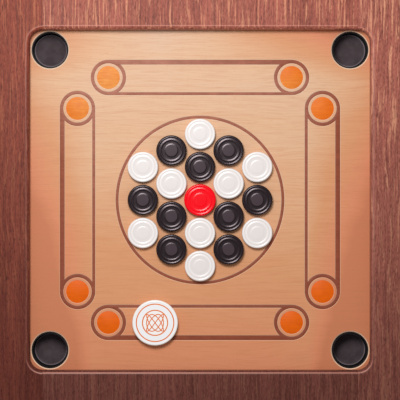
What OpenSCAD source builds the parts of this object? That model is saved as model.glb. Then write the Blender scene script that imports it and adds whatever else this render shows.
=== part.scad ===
// Compact carrom board with its men, queen and striker.
// Millimetres, +Z up. The origin is the centre of the board on the surface that its feet stand on.
// +Y points to the back of the board; the striker's base line in use is the front one, at -Y.

/* [Frame] */
// Overall width of the square board
board_w = 412; // [406:2:420]
// Height of the four frame members
frame_h = 42; // [40:1:46]
// Width of the frame's top at the wall round the playing surface
frame_top_w = 33; // [30:1:36]
// Height of the wall above the playing surface
wall_h = 14; // [12:1:16]
// Radius of the rounded inner corners of the wall
corner_r = 13; // [10:1:15]
// Rounding of the wall's top edge
lip_r = 4; // [2:0.5:5]
// Rounding of the frame's outer top edge
edge_r = 2; // [1:0.5:3]

/* [Playing surface] */
// Thickness of the plywood sheet
sheet_t = 6; // [5:0.5:7]
// Diameter of each pocket's hole in the sheet
pocket_d = 37.6; // [34:0.2:37.6]
// Distance from a pocket's centre to each wall beside it
pocket_inset = 20; // [20:0.5:22]
// Depth of the routed marking grooves
groove_depth = 0.6; // [0.4:0.1:1]
// How far the lacquer in the grooves lies below the surface
lacquer_sink = 0.15; // [0.05:0.05:0.25]

/* [Markings] */
// Distance from the board's centre to the middle of each pair of base lines
base_offset = 124.9; // [120:0.1:126]
// Half the distance between the two base circles of one side
base_half = 93.4; // [88:0.1:96]
// Outer radius of a base circle's ring
ring_r = 18; // [16:0.5:18]
// Width of a base circle's ring
ring_w = 3.5; // [2:0.5:4]
// Radius of a base circle's filled disc
disc_r = 11.7; // [10:0.1:12]
// Width of the outer, heavier base line
outer_line_w = 4.8; // [4:0.1:6]
// Width of the inner, lighter base line
inner_line_w = 3; // [2:0.1:4]
// Outer radius of the centre circle
circle_r = 86; // [84:0.5:88]
// Width of the centre circle's line
circle_w = 2.9; // [2:0.1:3.5]

/* [Men] */
// Diameter of a white or black man
man_d = 31; // [28:0.1:32]
// Thickness of a man
man_h = 7.6; // [7:0.1:9]
// Diameter of the queen
queen_d = 32.4; // [30:0.1:33]
// Distance between the centres of two neighbouring men
man_pitch = 33.6; // [33:0.1:34]
// Diameter of the striker
striker_d = 46.4; // [40:0.1:48]
// Thickness of the striker
striker_h = 9; // [8:0.1:10]
// Place of the striker along the front base line
striker_x = -45.7; // [-90:0.1:90]

/* [Hidden] */
$fn = 64;
FOOT_H = 5;
FOOT_R = 9;
FOOT_INSET = 16;
RABBET_W = 6;
OUTER_CORNER_R = 3;
BOTTOM_CHAMFER = 1;
CLEAT_W = 12;
BATTEN_W = 36;
BATTEN_H = 18;
SHEET_GAP = 0.4;
// Clearance round screws, dowels and lacquer, so that neighbours touch without sharing volume.
FIT = 0.05;
EPS = 1;
ROSEWOOD = "#9c5c4b";
MAPLE = "#e0b184";
PINE = "#d3b283";
INK = "#8f4a2f";
ORANGE = "#e37a35";
STEEL = "#b9b9b6";
BLACK_PLASTIC = "#3a3436";
RUBBER = "#4a4244";

half_w = board_w / 2;
play_half = half_w - frame_top_w;
joint_x = play_half - corner_r;
rabbet_half = play_half + RABBET_W;
outer_corner_at = half_w - OUTER_CORNER_R;
frame_top_z = FOOT_H + frame_h;
surface_z = frame_top_z - wall_h;
sheet_z = surface_z - sheet_t;
cleat_z = sheet_z - CLEAT_W;
batten_z = sheet_z - BATTEN_H;
pocket_at = play_half - pocket_inset;
foot_at = half_w - FOOT_INSET;
lacquer_z = surface_z - groove_depth;
lacquer_t = groove_depth - lacquer_sink;

// Pocket cup: a moulded collar, flange and bucket under each hole of the sheet.
CUP_FLANGE_T = 2;
CUP_FLOOR_T = 2;
CUP_BOTTOM_Z = 8;
CUP_BOTTOM_BEVEL = 2;
CUP_HOLE_GAP = 0.2;
CUP_COLLAR_T = 1.1;
CUP_BODY_T = 1.8;
CUP_FLANGE_W = 5.7;
CUP_TO_CLEAT = 5;
CUP_SCREW_TURNS = [0, 120, 240];
POCKET_CHAMFER = 1;
LINER_T = 2.4;
LINER_BEVEL = 0.6;
LINER_GAP = 0.8;
cup_collar_r = pocket_d / 2 - CUP_HOLE_GAP;
cup_bore_r = cup_collar_r - CUP_COLLAR_T;
cup_body_r = cup_bore_r + CUP_BODY_T;
cup_flange_r = cup_collar_r + CUP_FLANGE_W;
cup_screw_r = (cup_body_r + cup_flange_r) / 2;
cup_flange_z = sheet_z - CUP_FLANGE_T;
cup_floor_z = CUP_BOTTOM_Z + CUP_FLOOR_T;
liner_r = cup_bore_r - LINER_GAP;
cleat_half = pocket_at - cup_flange_r - CUP_TO_CLEAT;

// Fasteners: [shank radius, shank length, head radius, head height].
// The cross recess is given as shares of the head's diameter, the shank's radius and the head's height.
CUP_SCREW = [1.2, 4.4, 2.2, 1.6];
CLEAT_SCREW = [1.7, 20, 3.2, 2];
BATTEN_SCREW = [1.7, 14, 3.2, 2];
FOOT_SCREW = [1.7, 16, 3.2, 2];
RECESS_SPAN = 0.55;
RECESS_WIDTH = 0.5;
RECESS_DEPTH = 0.6;
FOOT_RECESS_R = 4;
FOOT_RECESS_H = 0.6;
DOWEL_R = 4;
DOWEL_HALF_L = 18;
DOWEL_HEIGHTS = [FOOT_H + 11, FOOT_H + 31];
DOWEL_Y = (rabbet_half + half_w) / 2;
CLEAT_SCREW_AT = [-105, -35, 35, 105];
BATTEN_SCREW_AT = [-10, 10];

// Turned grooves of a disc: [centre, half the width, depth], the first two as shares of the radius.
MAN_GROOVES = [[0.53, 0.13, 0.8], [0.80, 0.11, 0.55]];
STRIKER_GROOVES = [[0.68, 0.08, 0.25], [0.9, 0.05, 0.2]];
MAN_EDGE_R = 1.3;
STRIKER_EDGE_R = 1.6;
PROFILE_STEPS = 28;
EDGE_STEPS = 5;

SIDES = ["back", "right", "front", "left"];
BACK = 0;
RIGHT = 1;
FRONT = 2;
LEFT = 3;
CORNERS = ["back_left", "back_right", "front_right", "front_left"];
CORNER_SIGNS = [[-1, 1], [1, 1], [1, -1], [-1, -1]];
MEN_PER_COLOUR = 9;

// The start formation: a hexagon of men round the queen, each listed as [ring, turn clockwise from +Y].
// White men stand on the outer hexagon's corners and on every other place of the inner ring.
WHITE_PLACES = concat([for (k = [0:5]) [2, 60 * k]], [for (k = [0:2]) [1, 60 + 120 * k]]);
BLACK_PLACES = concat([for (k = [0:5]) [sqrt(3), 30 + 60 * k]], [for (k = [0:2]) [1, 120 * k]]);

function man_place(p) = [p[0] * man_pitch * sin(p[1]), p[0] * man_pitch * cos(p[1]), surface_z];

// Depth of the turned grooves at radius r of a disc of radius disc_radius.
function groove_dip(r, disc_radius, grooves) = sum_of([
    for (g = grooves)
        let (away = abs(r / disc_radius - g[0]) / g[1])
            away < 1 ? g[2] * (1 + cos(180 * away)) / 2 : 0
]);
function sum_of(v) = v * [for (x = v) 1];

// Outline of a turned disc from its axis to its rim: the grooved face, then the rounded edge.
function top_outline(disc_radius, h, grooves, edge) = concat(
    [for (i = [0:PROFILE_STEPS])
        let (r = (disc_radius - edge) * i / PROFILE_STEPS)
            [r, h - groove_dip(r, disc_radius, grooves)]],
    [for (i = [1:EDGE_STEPS])
        let (a = 90 - 90 * i / EDGE_STEPS)
            [disc_radius - edge + edge * cos(a), h - edge + edge * sin(a)]]
);

// A disc turned alike on both faces, standing on z = 0.
module turned_disc(d, h, grooves, edge) {
    upper = top_outline(d / 2, h, grooves, edge);
    count = len(upper);
    lower = [for (i = [count - 1:-1:0]) [upper[i][0], h - upper[i][1]]];
    rotate_extrude() polygon(concat(upper, lower));
}

// Screw standing head down, its shank pointing up, with a cross recess in the head.
module screw(s) {
    span = 2 * s[2] * RECESS_SPAN;
    width = s[0] * RECESS_WIDTH;
    difference() {
        union() {
            cylinder(r1 = s[2], r2 = s[0], h = s[3]);
            cylinder(r = s[0], h = s[3] + s[1]);
        }
        for (a = [0, 90])
            rotate([0, 0, a])
                translate([-span / 2, -width / 2, -EPS]) cube([span, width, EPS + s[3] * RECESS_DEPTH]);
    }
}

// The countersunk hole for a screw, a little larger than the screw.
module screw_hole(s) {
    translate([0, 0, -FIT]) cylinder(r1 = s[2] + FIT, r2 = s[0] + FIT, h = s[3] + FIT);
    cylinder(r = s[0] + FIT, h = s[3] + s[1] + FIT);
}

// Cuts a rounded edge along +X from the origin, on material that lies at -Y and -Z of it.
module round_edge_cut(length, r) {
    difference() {
        translate([0, -r, -r]) cube([length, r + EPS, r + EPS]);
        translate([-EPS, -r, -r]) rotate([0, 90, 0]) cylinder(r = r, h = length + 2 * EPS);
    }
}

// Cuts the rounded lip along the concave corner of the wall, a quarter turn from +X to +Y.
module corner_lip_cut() {
    rotate_extrude(angle = 90)
        difference() {
            translate([corner_r - EPS, -lip_r]) square([lip_r + EPS, lip_r + EPS]);
            translate([corner_r + lip_r, -lip_r]) circle(r = lip_r);
        }
}

// Carries the rounded top edge round a vertical outer corner about the origin.
module corner_edge_cut() {
    rotate_extrude(angle = 90)
        difference() {
            translate([OUTER_CORNER_R - edge_r, -edge_r]) square([edge_r + EPS, edge_r + EPS]);
            translate([OUTER_CORNER_R - edge_r, -edge_r]) circle(r = edge_r);
        }
}

// Cuts a 45 degree chamfer along +X from the origin, on material that lies at -Y and +Z of it.
module chamfer_cut(length, c) {
    bar = c * sqrt(2);
    rotate([45, 0, 0]) translate([0, -bar / 2, -bar / 2]) cube([length, bar, bar]);
}

// The dowels across the seam at joint_x in the back half of the board, or their holes if slack is FIT.
module dowel_pair(slack) {
    for (z = DOWEL_HEIGHTS)
        translate([joint_x - DOWEL_HALF_L - slack, DOWEL_Y, z]) rotate([0, 90, 0])
            cylinder(r = DOWEL_R + slack, h = 2 * (DOWEL_HALF_L + slack));
}

// Draws its children and their mirror image across the XZ plane.
module both_ends() {
    for (s = [0, 1]) mirror([0, s, 0]) children();
}

// Draws its children and their mirror image across the YZ plane.
module both_sides() {
    for (s = [0, 1]) mirror([s, 0, 0]) children();
}

// Turns its children onto the back, right, front and left sides; drawn for the back, at +Y.
module on_side(s) {
    rotate([0, 0, -90 * s]) children();
}

module on_every_side() {
    for (s = [BACK, RIGHT, FRONT, LEFT]) on_side(s) children();
}

module on_every_corner() {
    for (c = CORNER_SIGNS) translate([c[0] * pocket_at, c[1] * pocket_at, 0]) children();
}

module cleat_screw_places() {
    for (x = CLEAT_SCREW_AT)
        translate([x, rabbet_half - CLEAT_W, cleat_z + CLEAT_W / 2]) rotate([-90, 0, 0]) children();
}

// Plan of the right stile's block, with its two outer corners rounded.
module stile_outline_2d() {
    translate([joint_x, -half_w]) square([outer_corner_at - joint_x, board_w]);
    translate([joint_x, -outer_corner_at]) square([half_w - joint_x, 2 * outer_corner_at]);
    for (s = [-1, 1]) translate([outer_corner_at, s * outer_corner_at]) circle(r = OUTER_CORNER_R);
}

// Full-length stile of the right side. Its two ends carry the rounded inner corners.
module stile_blank() {
    side_cut_l = board_w + 2 * EPS;
    end_cut_l = half_w - joint_x + 2 * EPS;
    difference() {
        translate([0, 0, FOOT_H]) linear_extrude(frame_h) stile_outline_2d();
        // Straight part of the wall and its two concave corners.
        translate([joint_x - EPS, -joint_x, FOOT_H - EPS])
            cube([corner_r + EPS, 2 * joint_x, frame_h + 2 * EPS]);
        both_ends() translate([joint_x, joint_x, FOOT_H - EPS]) cylinder(r = corner_r, h = frame_h + 2 * EPS);
        rabbet_cut();
        // Rounded lip along the wall and round its corners.
        translate([play_half, -joint_x, frame_top_z]) rotate([0, 0, 90]) round_edge_cut(2 * joint_x, lip_r);
        both_ends() translate([joint_x, joint_x, frame_top_z]) corner_lip_cut();
        // Long outer edge, rounded above and chamfered below.
        translate([half_w, half_w + EPS, frame_top_z]) rotate([0, 0, -90]) round_edge_cut(side_cut_l, edge_r);
        translate([half_w, half_w + EPS, FOOT_H]) rotate([0, 0, -90]) chamfer_cut(side_cut_l, BOTTOM_CHAMFER);
        // The stile's two ends.
        both_ends() {
            translate([joint_x - EPS, half_w, frame_top_z]) round_edge_cut(end_cut_l, edge_r);
            translate([joint_x - EPS, half_w, FOOT_H]) chamfer_cut(end_cut_l, BOTTOM_CHAMFER);
            translate([outer_corner_at, outer_corner_at, frame_top_z]) corner_edge_cut();
            dowel_pair(FIT);
            translate([foot_at, foot_at, FOOT_RECESS_H]) screw_hole(FOOT_SCREW);
        }
        on_side(RIGHT) cleat_screw_places() screw_hole(CLEAT_SCREW);
    }
}

// Rail of the back side, butted between the two stiles.
module rail_blank() {
    cut_l = 2 * (joint_x + EPS);
    difference() {
        translate([-joint_x, play_half, FOOT_H]) cube([2 * joint_x, frame_top_w, frame_h]);
        rabbet_cut();
        translate([joint_x + EPS, play_half, frame_top_z]) rotate([0, 0, 180]) round_edge_cut(cut_l, lip_r);
        translate([-joint_x - EPS, half_w, frame_top_z]) round_edge_cut(cut_l, edge_r);
        translate([-joint_x - EPS, half_w, FOOT_H]) chamfer_cut(cut_l, BOTTOM_CHAMFER);
        both_sides() dowel_pair(FIT);
        cleat_screw_places() screw_hole(CLEAT_SCREW);
    }
}

// Rabbet round the inside of the frame that takes the sheet and the cleats from below.
module rabbet_cut() {
    translate([-rabbet_half, -rabbet_half, FOOT_H - EPS])
        cube([2 * rabbet_half, 2 * rabbet_half, surface_z - FOOT_H + EPS]);
}

module frame_stile_left() {
    color(ROSEWOOD) mirror([1, 0, 0]) stile_blank();
}

module frame_stile_right() {
    color(ROSEWOOD) stile_blank();
}

module frame_rail_back() {
    color(ROSEWOOD) rail_blank();
}

module frame_rail_front() {
    color(ROSEWOOD) mirror([0, 1, 0]) rail_blank();
}

module frame_dowels() {
    color(PINE) both_sides() both_ends() dowel_pair(0);
}

// Markings of one side, drawn flat for the back: two base lines that touch a ring at each end.
// The grooves are cut with a slack of FIT round the lacquer.
module base_marks_2d(slack) {
    translate([0, base_offset])
        difference() {
            union() {
                translate([-base_half, ring_r - outer_line_w - slack])
                    square([2 * base_half, outer_line_w + 2 * slack]);
                translate([-base_half, -ring_r - slack]) square([2 * base_half, inner_line_w + 2 * slack]);
                for (s = [-1, 1]) translate([s * base_half, 0]) circle(r = ring_r + slack);
            }
            for (s = [-1, 1]) translate([s * base_half, 0]) circle(r = ring_r - ring_w - slack);
        }
}

module base_discs(h, slack) {
    on_every_side()
        for (s = [-1, 1])
            translate([s * base_half, base_offset, 0]) cylinder(r = disc_r + slack, h = h);
}

module centre_ring(h, slack) {
    difference() {
        cylinder(r = circle_r + slack, h = h);
        translate([0, 0, -EPS]) cylinder(r = circle_r - circle_w - slack, h = h + 2 * EPS);
    }
}

module cup_screw_places() {
    for (c = CORNER_SIGNS, turn = CUP_SCREW_TURNS)
        translate([c[0] * pocket_at, c[1] * pocket_at, cup_flange_z])
            rotate([0, 0, atan2(-c[1], -c[0]) + turn])
                translate([cup_screw_r, 0, 0])
                    children();
}

module playing_surface() {
    half = rabbet_half - SHEET_GAP;
    groove_h = groove_depth + EPS;
    color(MAPLE)
        difference() {
            translate([-half, -half, sheet_z]) cube([2 * half, 2 * half, sheet_t]);
            on_every_corner() {
                translate([0, 0, sheet_z - EPS]) cylinder(d = pocket_d, h = sheet_t + 2 * EPS);
                translate([0, 0, surface_z - POCKET_CHAMFER])
                    cylinder(d1 = pocket_d, d2 = pocket_d + 4 * POCKET_CHAMFER, h = 2 * POCKET_CHAMFER);
            }
            translate([0, 0, lacquer_z]) {
                on_every_side() linear_extrude(groove_h) base_marks_2d(FIT);
                base_discs(groove_h, FIT);
                centre_ring(groove_h, FIT);
                cylinder(r = disc_r + FIT, h = groove_h);
            }
            cup_screw_places() screw_hole(CUP_SCREW);
        }
}

module base_lines(s) {
    color(INK) on_side(s) translate([0, 0, lacquer_z]) linear_extrude(lacquer_t) base_marks_2d(0);
}

module base_circle_discs() {
    color(ORANGE) translate([0, 0, lacquer_z]) base_discs(lacquer_t, 0);
}

module centre_circle_line() {
    color(INK) translate([0, 0, lacquer_z]) centre_ring(lacquer_t, 0);
}

module queen_spot() {
    color(ORANGE) translate([0, 0, lacquer_z]) cylinder(r = disc_r, h = lacquer_t);
}

module batten_screw_places() {
    for (x = BATTEN_SCREW_AT)
        translate([x, rabbet_half - CLEAT_W / 2, batten_z]) children();
}

// Batten along X under the sheet. Its ends are notched to pass under the cleats that they are screwed to.
module batten_blank() {
    half = rabbet_half - SHEET_GAP;
    difference() {
        translate([-half, -BATTEN_W / 2, batten_z]) cube([2 * half, BATTEN_W, BATTEN_H]);
        both_sides()
            translate([rabbet_half - CLEAT_W, -BATTEN_W, cleat_z])
                cube([2 * CLEAT_W, 2 * BATTEN_W, BATTEN_H]);
        for (s = [RIGHT, LEFT]) on_side(s) batten_screw_places() screw_hole(BATTEN_SCREW);
    }
}

// The two battens cross in a half lap at the middle. This one is notched from below.
module batten_long() {
    color(PINE)
        difference() {
            batten_blank();
            translate([-BATTEN_W / 2, -BATTEN_W, batten_z - EPS])
                cube([BATTEN_W, 2 * BATTEN_W, BATTEN_H / 2 + EPS]);
        }
}

// The crossing batten, along Y, is notched from above.
module batten_cross() {
    color(PINE)
        rotate([0, 0, 90])
            difference() {
                batten_blank();
                translate([-BATTEN_W / 2, -BATTEN_W, batten_z + BATTEN_H / 2])
                    cube([BATTEN_W, 2 * BATTEN_W, BATTEN_H]);
            }
}

module cleat(s) {
    color(PINE)
        on_side(s)
            difference() {
                translate([-cleat_half, rabbet_half - CLEAT_W, cleat_z])
                    cube([2 * cleat_half, CLEAT_W, CLEAT_W]);
                cleat_screw_places() screw_hole(CLEAT_SCREW);
                batten_screw_places() screw_hole(BATTEN_SCREW);
            }
}

module batten_screws() {
    color(STEEL) on_every_side() batten_screw_places() screw(BATTEN_SCREW);
}

module cleat_screws() {
    color(STEEL) on_every_side() cleat_screw_places() screw(CLEAT_SCREW);
}

module pocket_cup(c) {
    collar_z = surface_z - POCKET_CHAMFER;
    color(BLACK_PLASTIC)
        difference() {
            translate([CORNER_SIGNS[c][0] * pocket_at, CORNER_SIGNS[c][1] * pocket_at, 0])
                rotate_extrude()
                    polygon([
                        [0, CUP_BOTTOM_Z],
                        [cup_body_r - CUP_BOTTOM_BEVEL, CUP_BOTTOM_Z],
                        [cup_body_r, CUP_BOTTOM_Z + CUP_BOTTOM_BEVEL],
                        [cup_body_r, cup_flange_z],
                        [cup_flange_r, cup_flange_z],
                        [cup_flange_r, sheet_z],
                        [cup_collar_r, sheet_z],
                        [cup_collar_r, collar_z],
                        [cup_bore_r, collar_z],
                        [cup_bore_r, cup_floor_z],
                        [0, cup_floor_z]
                    ]);
            cup_screw_places() screw_hole(CUP_SCREW);
        }
}

// Rubber disc glued to a cup's floor, which deadens a falling man.
module pocket_liner(c) {
    flat_h = LINER_T - LINER_BEVEL;
    color(RUBBER)
        translate([CORNER_SIGNS[c][0] * pocket_at, CORNER_SIGNS[c][1] * pocket_at, cup_floor_z]) {
            cylinder(r = liner_r, h = flat_h);
            translate([0, 0, flat_h]) cylinder(r1 = liner_r, r2 = liner_r - LINER_BEVEL, h = LINER_BEVEL);
        }
}

module pocket_screws() {
    color(STEEL) cup_screw_places() screw(CUP_SCREW);
}

// Rubber foot, recessed below so that its screw's head stays clear of the table.
module foot(c) {
    color(RUBBER)
        translate([CORNER_SIGNS[c][0] * foot_at, CORNER_SIGNS[c][1] * foot_at, 0])
            difference() {
                cylinder(r1 = FOOT_R - 1, r2 = FOOT_R, h = FOOT_H);
                translate([0, 0, -EPS]) cylinder(r = FOOT_RECESS_R, h = EPS + FOOT_RECESS_H);
                translate([0, 0, FOOT_RECESS_H]) screw_hole(FOOT_SCREW);
            }
}

module foot_screws() {
    color(STEEL)
        for (c = CORNER_SIGNS)
            translate([c[0] * foot_at, c[1] * foot_at, FOOT_RECESS_H]) screw(FOOT_SCREW);
}

module man(d) {
    turned_disc(d, man_h, MAN_GROOVES, MAN_EDGE_R);
}

module white_man(i) {
    color("#efe6e2") translate(man_place(WHITE_PLACES[i - 1])) man(man_d);
}

module black_man(i) {
    color("#38302f") translate(man_place(BLACK_PLACES[i - 1])) man(man_d);
}

module queen() {
    color("#e8101f") translate([0, 0, surface_z]) man(queen_d);
}

module striker() {
    color("#f4f1ec")
        translate([striker_x, -base_offset, surface_z])
            turned_disc(striker_d, striker_h, STRIKER_GROOVES, STRIKER_EDGE_R);
}

frame_stile_left();
frame_stile_right();
frame_rail_back();
frame_rail_front();
frame_dowels();
playing_surface();
centre_circle_line();
queen_spot();
base_circle_discs();
batten_long();
batten_cross();
batten_screws();
cleat_screws();
pocket_screws();
foot_screws();
queen();
striker();
for (s = [BACK, RIGHT, FRONT, LEFT]) {
    base_lines(s);
    cleat(s);
}
for (c = [0:3]) {
    pocket_cup(c);
    pocket_liner(c);
    foot(c);
}
for (i = [1:MEN_PER_COLOUR]) {
    white_man(i);
    black_man(i);
}
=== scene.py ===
"""A compact carrom board with its men, queen and striker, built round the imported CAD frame.

Metres, +Z up, +Y towards the back of the board. Sizes that the CAD model holds are read from it.
"""

import math

import bmesh
import bpy
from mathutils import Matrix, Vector
from mathutils.geometry import delaunay_2d_cdt


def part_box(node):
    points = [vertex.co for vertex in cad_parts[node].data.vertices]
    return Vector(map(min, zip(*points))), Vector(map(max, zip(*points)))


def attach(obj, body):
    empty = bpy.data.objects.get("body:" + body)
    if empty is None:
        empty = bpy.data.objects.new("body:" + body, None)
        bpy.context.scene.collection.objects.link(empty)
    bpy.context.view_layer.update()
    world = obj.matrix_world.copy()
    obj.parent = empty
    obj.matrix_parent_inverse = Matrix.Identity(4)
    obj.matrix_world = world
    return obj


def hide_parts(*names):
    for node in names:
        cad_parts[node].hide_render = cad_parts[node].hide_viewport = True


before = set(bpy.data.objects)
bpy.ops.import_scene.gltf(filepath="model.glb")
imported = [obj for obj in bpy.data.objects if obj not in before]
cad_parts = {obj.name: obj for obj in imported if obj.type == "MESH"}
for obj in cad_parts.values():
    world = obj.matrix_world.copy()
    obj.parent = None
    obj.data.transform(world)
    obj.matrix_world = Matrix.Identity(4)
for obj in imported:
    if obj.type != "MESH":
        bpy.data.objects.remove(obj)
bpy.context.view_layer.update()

MM = 0.001
SIDES = ("back", "right", "front", "left")
CORNERS = ("back_left", "back_right", "front_right", "front_left")
MEN_PER_COLOUR = 9

# Sizes read from the CAD model.
RAIL_LOW, RAIL_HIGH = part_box("frame_rail_back")
SHEET_LOW, SHEET_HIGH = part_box("playing_surface")
MARKS_LOW, MARKS_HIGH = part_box("base_lines_back")
_, CIRCLE_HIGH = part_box("centre_circle_line")
SPOT_LOW, SPOT_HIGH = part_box("queen_spot")
_, CLEAT_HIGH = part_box("cleat_back")
CUP_LOW, CUP_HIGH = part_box("pocket_cup_back_right")
HALF_W = RAIL_HIGH.y
JOINT_X = RAIL_HIGH.x
TOP_Z = RAIL_HIGH.z
BOTTOM_Z = RAIL_LOW.z
PLAY_HALF = RAIL_LOW.y
SURFACE_Z = SHEET_HIGH.z
RABBET_HALF = CLEAT_HIGH.y
INNER_R = PLAY_HALF - JOINT_X
RING_R = (MARKS_HIGH.y - MARKS_LOW.y) / 2
BASE_OFFSET = (MARKS_HIGH.y + MARKS_LOW.y) / 2
BASE_HALF = MARKS_HIGH.x - RING_R
CIRCLE_R = CIRCLE_HIGH.x
DISC_R = SPOT_HIGH.x
LACQUER_LOW = SPOT_LOW.z
LACQUER_TOP = SPOT_HIGH.z
POCKET_AT = (CUP_LOW.x + CUP_HIGH.x) / 2

# Sizes that no box gives. First the frame's rounded edges, its outer and hidden corners, and its seams.
LIP_R = 4 * MM
EDGE_R = 2 * MM
OUTER_R = 3 * MM
RABBET_R = 0.2 * MM
BOTTOM_CHAMFER = 1 * MM
SEAM_EASE = 0.12 * MM

# The markings' line widths, and the pocket holes.
RING_W = 3.5 * MM
OUTER_LINE_W = 4.8 * MM
INNER_LINE_W = 3 * MM
CIRCLE_W = 2.9 * MM
POCKET_R = 18.8 * MM
POCKET_CHAMFER = 1 * MM

# The grooves' eased edges, the lacquer's distance from the groove's walls and floor, and its rounded edge.
GROOVE_EASE = 0.45 * MM
GROOVE_EASE_DEPTH = 0.8 * GROOVE_EASE
LACQUER_FIT = 0.04 * MM
LACQUER_FLOOR_GAP = 0.02 * MM
LACQUER_ROUND = 0.12 * MM

# Points round a pocket, ring or disc of the markings, and round the centre circle.
RING_STEPS = 96
CIRCLE_STEPS = 256

# Faces that meet at a sharper angle than this keep a hard edge between them.
SHARP_ANGLE = math.radians(32)


# ---------------------------------------------------------------- colours and shader building


def linear(red, green, blue):
    """An sRGB colour of 0 to 255 as linear numbers, with alpha."""
    def one(v):
        v /= 255
        return v / 12.92 if v <= 0.04045 else ((v + 0.055) / 1.055) ** 2.4
    return (one(red), one(green), one(blue), 1.0)


# The Mix node's colour sockets by number, because its sockets for other kinds of value share their names.
MIX_AMOUNT, MIX_FIRST, MIX_SECOND, MIX_RESULT = 0, 6, 7, 2

# How the board's tone changes for each metre: partly its own tone, partly painted fall-off of the lamp's
# light from back to front. It is paler towards the back, in patches. The strips along the sides are darker,
# less so towards the back, and so is the strip along the back, except round a place a little left of its
# middle.
FADE_PATCHES = (0.3, 0.54)
PAINTED_FALLOFF_TO_BACK = -2.1
SIDE_STRIP_FROM = 0.11
SIDE_STRIP = 9.5
SIDE_STRIP_TO_BACK = 44.0
BACK_STRIP_FROM = 0.12
BACK_STRIP = 100.0
BACK_STRIP_PALE_LEFT = 0.04


class Shader:
    """A Principled material with short calls for the nodes that feed it."""

    def __init__(self, name):
        self.material = bpy.data.materials.new(name)
        self.material.use_nodes = True
        self.tree = self.material.node_tree
        self.surface = self.tree.nodes["Principled BSDF"]
        self.place = self.node("ShaderNodeTexCoord").outputs["Object"]

    def node(self, kind, **settings):
        made = self.tree.nodes.new(kind)
        for key, value in settings.items():
            setattr(made, key, value)
        return made

    def feed(self, socket, value):
        """Links the socket to value if that is a node's output, and sets the socket to it otherwise."""
        if isinstance(value, bpy.types.NodeSocket):
            self.tree.links.new(value, socket)
        else:
            socket.default_value = value

    def set(self, **values):
        """Feeds the Principled node's inputs. An underscore stands for a space."""
        for key, value in values.items():
            self.feed(self.surface.inputs[key.replace("_", " ")], value)

    def stretch(self, scale, offset=(0, 0, 0), place=None):
        """The place on the object, or the one given, scaled and then shifted."""
        made = self.node("ShaderNodeMapping")
        self.feed(made.inputs["Vector"], place or self.place)
        made.inputs["Scale"].default_value = scale
        made.inputs["Location"].default_value = offset
        return made.outputs["Vector"]

    def noise(self, scale, offset=(0, 0, 0), detail=3.0, roughness=0.55, place=None):
        made = self.node("ShaderNodeTexNoise")
        self.feed(made.inputs["Vector"], self.stretch(scale, offset, place))
        made.inputs["Scale"].default_value = 1.0
        made.inputs["Detail"].default_value = detail
        made.inputs["Roughness"].default_value = roughness
        return made.outputs["Fac"]

    def ramp(self, value, *stops):
        """A colour or grey ramp. Each stop is (position, number or colour)."""
        made = self.node("ShaderNodeValToRGB")
        self.feed(made.inputs["Fac"], value)
        elements = made.color_ramp.elements
        while len(elements) < len(stops):
            elements.new(0.5)
        for element, (position, colour) in zip(elements, stops):
            element.position = position
            element.color = colour if isinstance(colour, tuple) else (colour, colour, colour, 1.0)
        return made.outputs["Color"]

    def mix(self, amount, first, second, blend="MIX"):
        made = self.node("ShaderNodeMix", data_type="RGBA", blend_type=blend)
        self.feed(made.inputs[MIX_AMOUNT], amount)
        self.feed(made.inputs[MIX_FIRST], first)
        self.feed(made.inputs[MIX_SECOND], second)
        return made.outputs[MIX_RESULT]

    def maths(self, operation, first, second=0.0):
        made = self.node("ShaderNodeMath", operation=operation)
        self.feed(made.inputs[0], first)
        self.feed(made.inputs[1], second)
        return made.outputs[0]

    def spread(self, value, low, high):
        """Maps 0 to 1 onto low to high."""
        made = self.node("ShaderNodeMapRange")
        self.feed(made.inputs["Value"], value)
        made.inputs["To Min"].default_value = low
        made.inputs["To Max"].default_value = high
        return made.outputs["Result"]

    def attribute(self, name):
        return self.node("ShaderNodeAttribute", attribute_name=name).outputs["Fac"]

    def beyond(self, value, limit):
        """How far value is past limit, and 0 up to it."""
        return self.maths("MAXIMUM", self.maths("SUBTRACT", value, limit), 0.0)

    def waved(self, scale, reach):
        """The place on the object pushed along reach by a slow noise, so that grain waves a little."""
        push = self.node("ShaderNodeVectorMath", operation="MULTIPLY_ADD")
        self.feed(push.inputs[0], self.noise(scale, detail=2))
        self.feed(push.inputs[1], reach)
        self.feed(push.inputs[2], self.place)
        return push.outputs["Vector"]

    def fade(self, lean):
        """0 where the board is palest, at its back, to 1 at its front and along its edges: partly the wood's
        tone, partly painted fall-off of the lamp's light.

        lean is how much the tone deepens to the right, for each metre."""
        parts = self.node("ShaderNodeSeparateXYZ")
        self.feed(parts.inputs[0], self.place)
        x, y = parts.outputs["X"], parts.outputs["Y"]
        patch = self.spread(self.noise((7, 7, 7), (3, 9, 0), detail=2), *FADE_PATCHES)
        # Darker towards the front: painted fall-off of the lamp's light, over patches of tone.
        forward = self.maths("ADD", self.maths("MULTIPLY", y, PAINTED_FALLOFF_TO_BACK), patch)
        across = self.maths("ADD", self.maths("MULTIPLY", x, lean), forward)
        side_strength = self.maths("SUBTRACT", SIDE_STRIP, self.maths("MULTIPLY", y, SIDE_STRIP_TO_BACK))
        side = self.maths("MULTIPLY", self.beyond(self.maths("ABSOLUTE", x), SIDE_STRIP_FROM), side_strength)
        off_middle = self.maths("ABSOLUTE", self.maths("ADD", x, BACK_STRIP_PALE_LEFT))
        back_strength = self.maths("MULTIPLY", off_middle, BACK_STRIP)
        back = self.maths("MULTIPLY", self.beyond(y, BACK_STRIP_FROM), back_strength)
        return self.maths("ADD", across, self.maths("ADD", side, back))

    def bumps(self, *layers):
        """Stacks bump maps. Each layer is (height, strength, distance in metres)."""
        normal = None
        for height, strength, distance in layers:
            made = self.node("ShaderNodeBump")
            self.feed(made.inputs["Height"], height)
            made.inputs["Strength"].default_value = strength
            made.inputs["Distance"].default_value = distance
            if normal:
                self.feed(made.inputs["Normal"], normal)
            normal = made.outputs["Normal"]
        self.feed(self.surface.inputs["Normal"], normal)


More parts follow.
